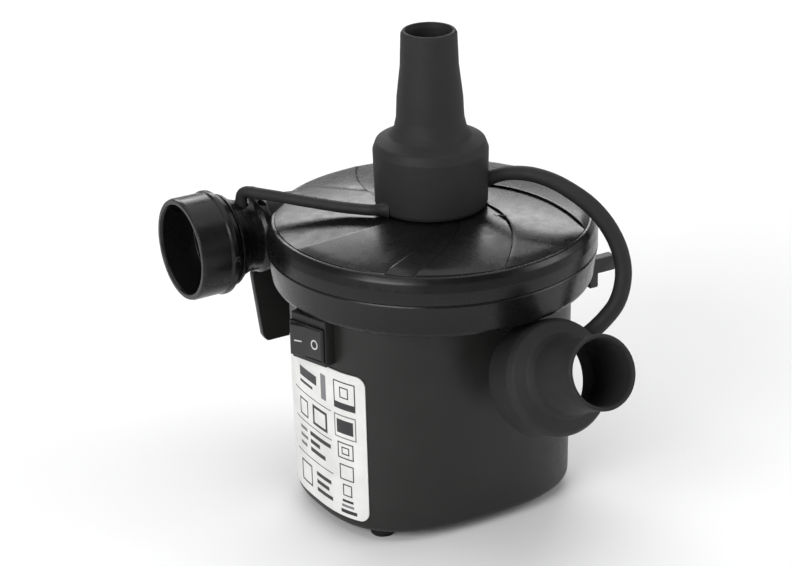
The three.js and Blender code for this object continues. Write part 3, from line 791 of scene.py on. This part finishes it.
def top_cover():
    dome = []
    for k in range(25):
        r = LID_RADIUS + (16.2 - LID_RADIUS) * k / 24
        dome.append((r, dome_height(r), True))
    wall = rounded([
        (53.2, SEAM + SEAM_GAP, 0), (DRUM_RADIUS - 0.25, SEAM + SEAM_GAP, 0), (DRUM_RADIUS, SEAM + 0.5, 0),
        (DRUM_RADIUS, 96, 3), (55.1, 99, 3), (53.9, 100.8, 1.8), (53, 100.95, 0.4), (52.82, 100.85, 0.1),
    ])
    spigot = rounded([
        (16.2, 104.9, 0), (16.2, 120.6, 0.5), (15.8, 121, 0.2), (13.7, 121, 0.2), (13.6, 120.6, 0),
        (13.6, 102.2, 0), (36, 100.8, 0), (51, 98.8, 1.5), (53.2, 96.4, 1.5),
    ])
    outline = [(r, z, False) for r, z in wall] + dome + [(r, z, False) for r, z in spigot]
    shell = lid_lathe("drum_upper_half", outline)
    corners = [(-49.6, 41, 103.9), (-49.4, 31, 102.4), (-44, 30.6, 100.4), (-33, 42.4, 100.8)]
    shelf = raw("shelf", [(x, y, 93) for x, y, _ in corners] + corners, column_faces(len(corners)))
    soften(shelf, 0.9)
    combine(shell, "UNION", duct("duct_upper", DUCT_OUTSIDE), shelf)
    cuts = [duct("bore_upper", DUCT_INSIDE), slab("below", 60, SEAM - SEAM_GAP)]
    cuts.append(lathe("fan_room", [(0, 80), (52, 80), (52, 97.6), (36, 100.4), (0, 101.6)], 96))
    for x, y, radius, floor_height in ((-52.5, 37.2, 2.4, 99.5), (-46.3, 34, 1.5, 97)):
        hole = [(0, floor_height), (radius, floor_height), (radius, 107), (0, 107)]
        cuts.append(lathe("strap_hole", hole, 36, Matrix.Translation((x, y, 0))))
    combine(shell, "DIFFERENCE", *cuts)
    return dress(shell, "root", DRUM_BLACK, ("top_cover",), 24)


def inlet_grille():
    """Bars and a boss across the inlet, under the tall nozzle."""
    boss = rounded([(0, 103, 0), (4.2, 103, 0.3), (4.2, 105.2, 0.6), (0, 105.2, 0)])
    grille = lathe("inlet_grille", boss, 48)
    turns = [Matrix.Rotation(i * math.pi / 4, 4, "Z") for i in range(4)]
    bars = [box(f"bar_{i}", (-14.4, -0.9, 103), (14.4, 0.9, 105), turn, 0.25) for i, turn in enumerate(turns)]
    combine(grille, "UNION", *bars)
    return dress(grille, "root", DRUM_BLACK)


def outlet_collar():
    """The ring pushed on the duct, with a small nub on its front."""
    outline = [
        (14.7, -59.4, 0.3), (14.7, -62.4, 0.2), (15.25, -62.8, 0.2), (15.25, COLLAR_FACE + 0.9, 0.8),
        (15.65, COLLAR_FACE, 0.35), (17.15, COLLAR_FACE, 0.45), (17.5, COLLAR_FACE + 1, 0.8),
        (17.45, -64.4, 0.6), (17.95, -63.6, 0.5), (17.9, -62.1, 0.7), (17.1, -61.2, 0.8), (15.9, -59.6, 0.8),
    ]
    ring = lathe("collar_ring", rounded(outline), 160, duct_turn())
    nub = box("nub", (-64, DUCT_Y - 18.3, SEAM - 0.9), (-61.6, DUCT_Y - 16.4, SEAM + 0.9), bevel=0.4)
    combine(ring, "UNION", nub)
    return dress(ring, "root", DRUM_BLACK, ("outlet_collar",))


def lid_height(r, angle):
    """The lid's surface between its lines, at a radius and an angle in degrees."""
    lines = []
    for start, wind in LID_LINES:
        lines.append((start + wind * math.log(LID_RADIUS / r) - angle) % 360)
    behind, ahead = 360 - max(lines), min(lines)
    return dome_height(r) + LINE_STEP * (1 - behind / (behind + ahead))


def flow_arrow():
    """A plain small arrow, raised on the lid."""
    outline = [(-2.4, -0.35), (0.6, -0.35), (0.6, -1.3), (2.6, 0), (0.6, 1.3), (0.6, 0.35), (-2.4, 0.35)]
    middle, heading = Vector((13.6, -21.4)), math.radians(112)
    points = []
    for lift in (-0.25, 0.16):
        for along, side in outline:
            x = middle.x + along * math.cos(heading) - side * math.sin(heading)
            y = middle.y + along * math.sin(heading) + side * math.cos(heading)
            points.append((x, y, lid_height(math.hypot(x, y), math.degrees(math.atan2(y, x))) + lift))
    return dress(raw("flow_arrow", points, column_faces(len(outline))), "root", DRUM_BLACK)


fan_housing()
top_cover()
inlet_grille()
outlet_collar()
flow_arrow()


# ------------------------------------------------------------------ switch
def rocker_face(y):
    """How far the rocker's face stands off its pin, y millimetres from the middle: a shallow V."""
    return 2.15 + 0.14 * math.sqrt(y * y + 0.5)


def switch():
    """The frame in the pad and the rocker in it; gives back the rocker's turn."""
    frame_piece = box("switch_frame", (0.05, -7.5, -6.1), (1.0, 7.5, 6.1), PAD_TURN, 0.25)
    well = box("well", (-8, -6.9, -5.8), (0.8, 6.9, 5.8), PAD_TURN)
    combine(frame_piece, "UNION", well)
    combine(frame_piece, "DIFFERENCE", box("window", (-7, -6.5, -5.45), (3, 6.5, 5.45), PAD_TURN))
    dress(frame_piece, "root", DRUM_BLACK, ("switch_bezel",))
    tilt = Matrix.Rotation(math.radians(ROCKER_TILT), 4, "Z")
    turn = PAD_TURN @ Matrix.Translation((-ROCKER_PIN_DEPTH, 0, 0)) @ tilt
    plan = [(-0.5, -6.25), (rocker_face(6.1), -6.1)]
    plan += [(rocker_face(abs(y)), y) for y in (-5, -3.5, -2, -1, -0.5, 0, 0.5, 1, 2, 3.5, 5)]
    plan += [(rocker_face(6.1), 6.1), (-0.5, 6.25)]
    rocker = prism("rocker_cap", plan, -5.25, 5.25, turn, 0.28)
    dress(rocker, "rocker", SWITCH_GREY, ("switch_rocker",))
    return turn


# The rocker's face leans by this much where its marks are
MARK_SLOPE = 0.138


def rocker_marks(turn):
    """The on bar and the off ring, printed on the rocker."""
    def mark(name, y, shape):
        slope = math.copysign(math.atan(MARK_SLOPE), y)
        at = turn @ Matrix.Translation((rocker_face(y) + 0.02, y, 0)) @ Matrix.Rotation(-slope, 4, "Z")
        piece = shape(name, at @ Matrix.Rotation(math.pi / 2, 4, "Y"))
        dress(piece, "rocker", PALE_INK)
    mark("rocker_on_mark", -3.2, lambda name, at: box(name, (-0.22, -1.35, -0.02), (0.22, 1.35, 0.07), at))
    ring = [(1.1, -0.02), (1.5, -0.02), (1.5, 0.07), (1.1, 0.07)]
    oval = Matrix.Diagonal((1.15, 0.95, 1, 1))
    mark("rocker_off_mark", 3.3, lambda name, at: lathe(name, ring, 48, at @ oval))


rocker_marks(switch())


# ------------------------------------------------------------------ nozzles
def tall_nozzle():
    """A skirt over the spigot, then a long taper."""
    outline = [
        (16.75, 105.5, 0.2), (18.55, 105.5, 0.5), (18.95, 106.6, 1), (19.4, 125, 1.3), (18.3, 127.9, 1.2),
        (14, 130, 2), (12.2, 132.2, 2.5), (11.35, 136, 4), (11.05, 143, 8), (9.75, 154, 6),
        (9.35, 164.8, 0.6), (8.7, 165.8, 0.4), (7.9, 165.8, 0.3), (7.6, 164, 1), (7.6, 150, 2),
        (9, 140, 2), (9.3, 128, 2), (16.75, 124.5, 1),
    ]
    piece = lathe("tall_nozzle_shell", rounded(outline), 128)
    return dress(piece, "tall_nozzle", SOFT_PVC, ("nozzle_tall",))


def short_nozzle():
    """A skirt that leans on the housing, then a wide spout."""
    outline = [
        (16.9, 0, 0.3), (18.8, 0, 0.6), (19.3, 1.2, 0.8), (19.45, 12.8, 2.2), (18.3, 15.2, 2),
        (14.2, 17.4, 2.2), (12.9, 19.8, 3), (12.2, 30, 8), (12.15, 39.6, 0.8), (12.45, 40.3, 0.5),
        (12, 41, 0.4), (11.2, 41, 0.3), (10.8, 40, 0.6), (10.8, 17, 2), (16.9, 13.6, 1),
    ]
    turn = Matrix.Translation(SHORT_PLACE) @ Matrix.Rotation(math.radians(90 - SHORT_RISE), 4, "X")
    piece = lathe("short_nozzle_shell", rounded(outline), 128, turn)
    return dress(piece, "short_nozzle", SOFT_PVC, ("nozzle_short",))


def strap_anchor():
    """The pin that the left strap grows out of: up from its hole, then over into the strap."""
    route = smooth_route([
        (-52.5, 37.2, 99.8), (-52.5, 37.2, 102.5), (-52.5, 37.2, 105.2),
        (-52.2, 36.8, 107.4), (-51.3, 35.5, 108.5), (-50.4, 34.3, 108.6),
    ])
    piece = swept("strap_pin", route, lambda s: 2.35 - 0.25 * min(1, 2.5 * s) if s < 0.5 else 2.05 - 0.1 * s)
    return dress(piece, "root", SOFT_PVC, ("strap_anchor",))


tall_nozzle()
short_nozzle()
strap_anchor()


# ------------------------------------------------------------------ cord bracket, hook and gland
def cord_bracket():
    """The plate behind the housing and its two webs."""
    about_x = Matrix.Translation((BODY_X, 52.5, 0)) @ Matrix.Rotation(math.pi / 2, 4, "X")
    outline = rounded([
        (-37.4, 44.5, 2), (37.4, 44.5, 2), (38.9, 47, 2), (42.2, 72, 1.5), (-42.2, 72, 1.5), (-38.9, 47, 2),
    ])
    plate = prism("bracket_plate", outline, 0, 2.5, about_x, 0.3)
    for i, x in enumerate((-20, 14)):
        combine(plate, "UNION", box(f"web_{i}", (x, 38.75, 50), (x + 2.5, 51, 68)))
    return dress(plate, "root", HOUSING_BLACK, ("cord_bracket",))


def cord_hook():
    arm = box("hook_arm", (46.1, -12, 69.5), (67, -8, 75), bevel=0.45)
    combine(arm, "UNION", box("hook_tab", (56.5, -12, 64.5), (60, -8, 72), bevel=0.45))
    return dress(arm, "root", HOUSING_BLACK, ("cord_hook",))


def cord_gland():
    """A rubber sleeve with three ribs."""
    outline = [(3.4, 31, 0.2), (6, 31, 0.4), (6, 38.5, 0)]
    outline += [(7.6, 38.5, 0.3), (7.6, 40.4, 0.6), (5.6, 41.3, 0.6)]
    for k in range(3):
        y = 42.3 + 1.8 * k
        outline += [(5.5 - 0.15 * k, y, 0.2), (4.7, y + 0.3, 0.1)]
        outline += [(4.7, y + 0.8, 0.1), (5.4 - 0.15 * k, y + 1.1, 0.2)]
    outline += [(4.9, 48, 0.5), (3.4, 48, 0.4)]
    piece = lathe("gland_sleeve", rounded(outline, 4), 64, GLAND_TURN)
    return dress(piece, "root", RUBBER, ("cord_gland",))


cord_bracket()
cord_hook()
cord_gland()


# ------------------------------------------------------------------ brush springs
def brush_spring(side, facing):
    """A coil between a brush and the end of its holder."""
    turns, steps, radius, wire = 3, 90, 1.7, 0.3
    inner, outer, height = 13.2, 17.6, 21.5
    route = []
    for i in range(steps + 1):
        angle = TAU * turns * i / steps
        along = inner + (outer - inner) * i / steps
        side_step, rise = radius * math.cos(angle), radius * math.sin(angle)
        route.append(Vector((facing * along, facing * side_step, height + rise)))
    piece = swept(f"spring_{side}", route, lambda s: wire, sides=10, cap=2)
    dress(piece, "root", STEEL, (f"brush_spring_{side}",))
    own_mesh(piece)


brush_spring("right", 1)
brush_spring("left", -1)


# ------------------------------------------------------------------ floor and light
def floor():
    size = 3.0
    mesh = bpy.data.meshes.new("floor")
    corners = [(-size, -size, 0), (size, -size, 0), (size, size, 0), (-size, size, 0)]
    mesh.from_pydata(corners, [], [(0, 1, 2, 3)])
    plane = bpy.data.objects.new("floor", mesh)
    bpy.context.scene.collection.objects.link(plane)
    material, nodes, links, shader = new_material("floor")
    tone = spread(nodes, links, object_noise(nodes, links, 4, 2), 0, 1)
    links.new(mixed(nodes, links, tone, grey(0.9), grey(0.93)), shader.inputs["Base Color"])
    shader.inputs["Roughness"].default_value = 0.7
    mesh.materials.append(material)


# What each light looks at, its place, its width and height, in metres, and its power in watts
LIGHTS = {
    "key_light": ((0, 0, 0.09), (-0.95, -0.45, 0.6), (0.7, 0.6), 8.5),
    "back_light": ((0, 0, 0.09), (0.5, 1.15, 0.75), (1.3, 0.4), 9),
    "fill_light": ((0, 0, 0.09), (0.85, -0.5, 0.55), (0.5, 0.5), 3),
    "top_light": ((0, 0.2, 0), (0, 0.2, 1.7), (2.0, 2.0), 17),
}


def area_light(name, target, position, size, energy):
    data = bpy.data.lights.new(name, "AREA")
    data.shape = "RECTANGLE"
    data.size, data.size_y = size
    data.energy = energy
    light = bpy.data.objects.new(name, data)
    bpy.context.scene.collection.objects.link(light)
    light.location = position
    light.rotation_euler = (Vector(target) - Vector(position)).to_track_quat("-Z", "Y").to_euler()


def studio():
    """A pale room that darkens overhead, with four large soft lights."""
    world = bpy.data.worlds.new("studio")
    world.use_nodes = True
    nodes, links = world.node_tree.nodes, world.node_tree.links
    direction = nodes.new("ShaderNodeTexCoord").outputs["Generated"]
    height = nodes.new("ShaderNodeSeparateXYZ")
    links.new(direction, height.inputs["Vector"])
    tone = spread(nodes, links, height.outputs["Z"], 0, 1, (0.26, 0.52))
    background = nodes["Background"]
    links.new(mixed(nodes, links, tone, grey(0.9), (0.2, 0.2, 0.21)), background.inputs["Color"])
    background.inputs["Strength"].default_value = 0.55
    bpy.context.scene.world = world
    for name, settings in LIGHTS.items():
        area_light(name, *settings)
    bpy.context.scene.view_settings.view_transform = "Standard"


floor()
studio()
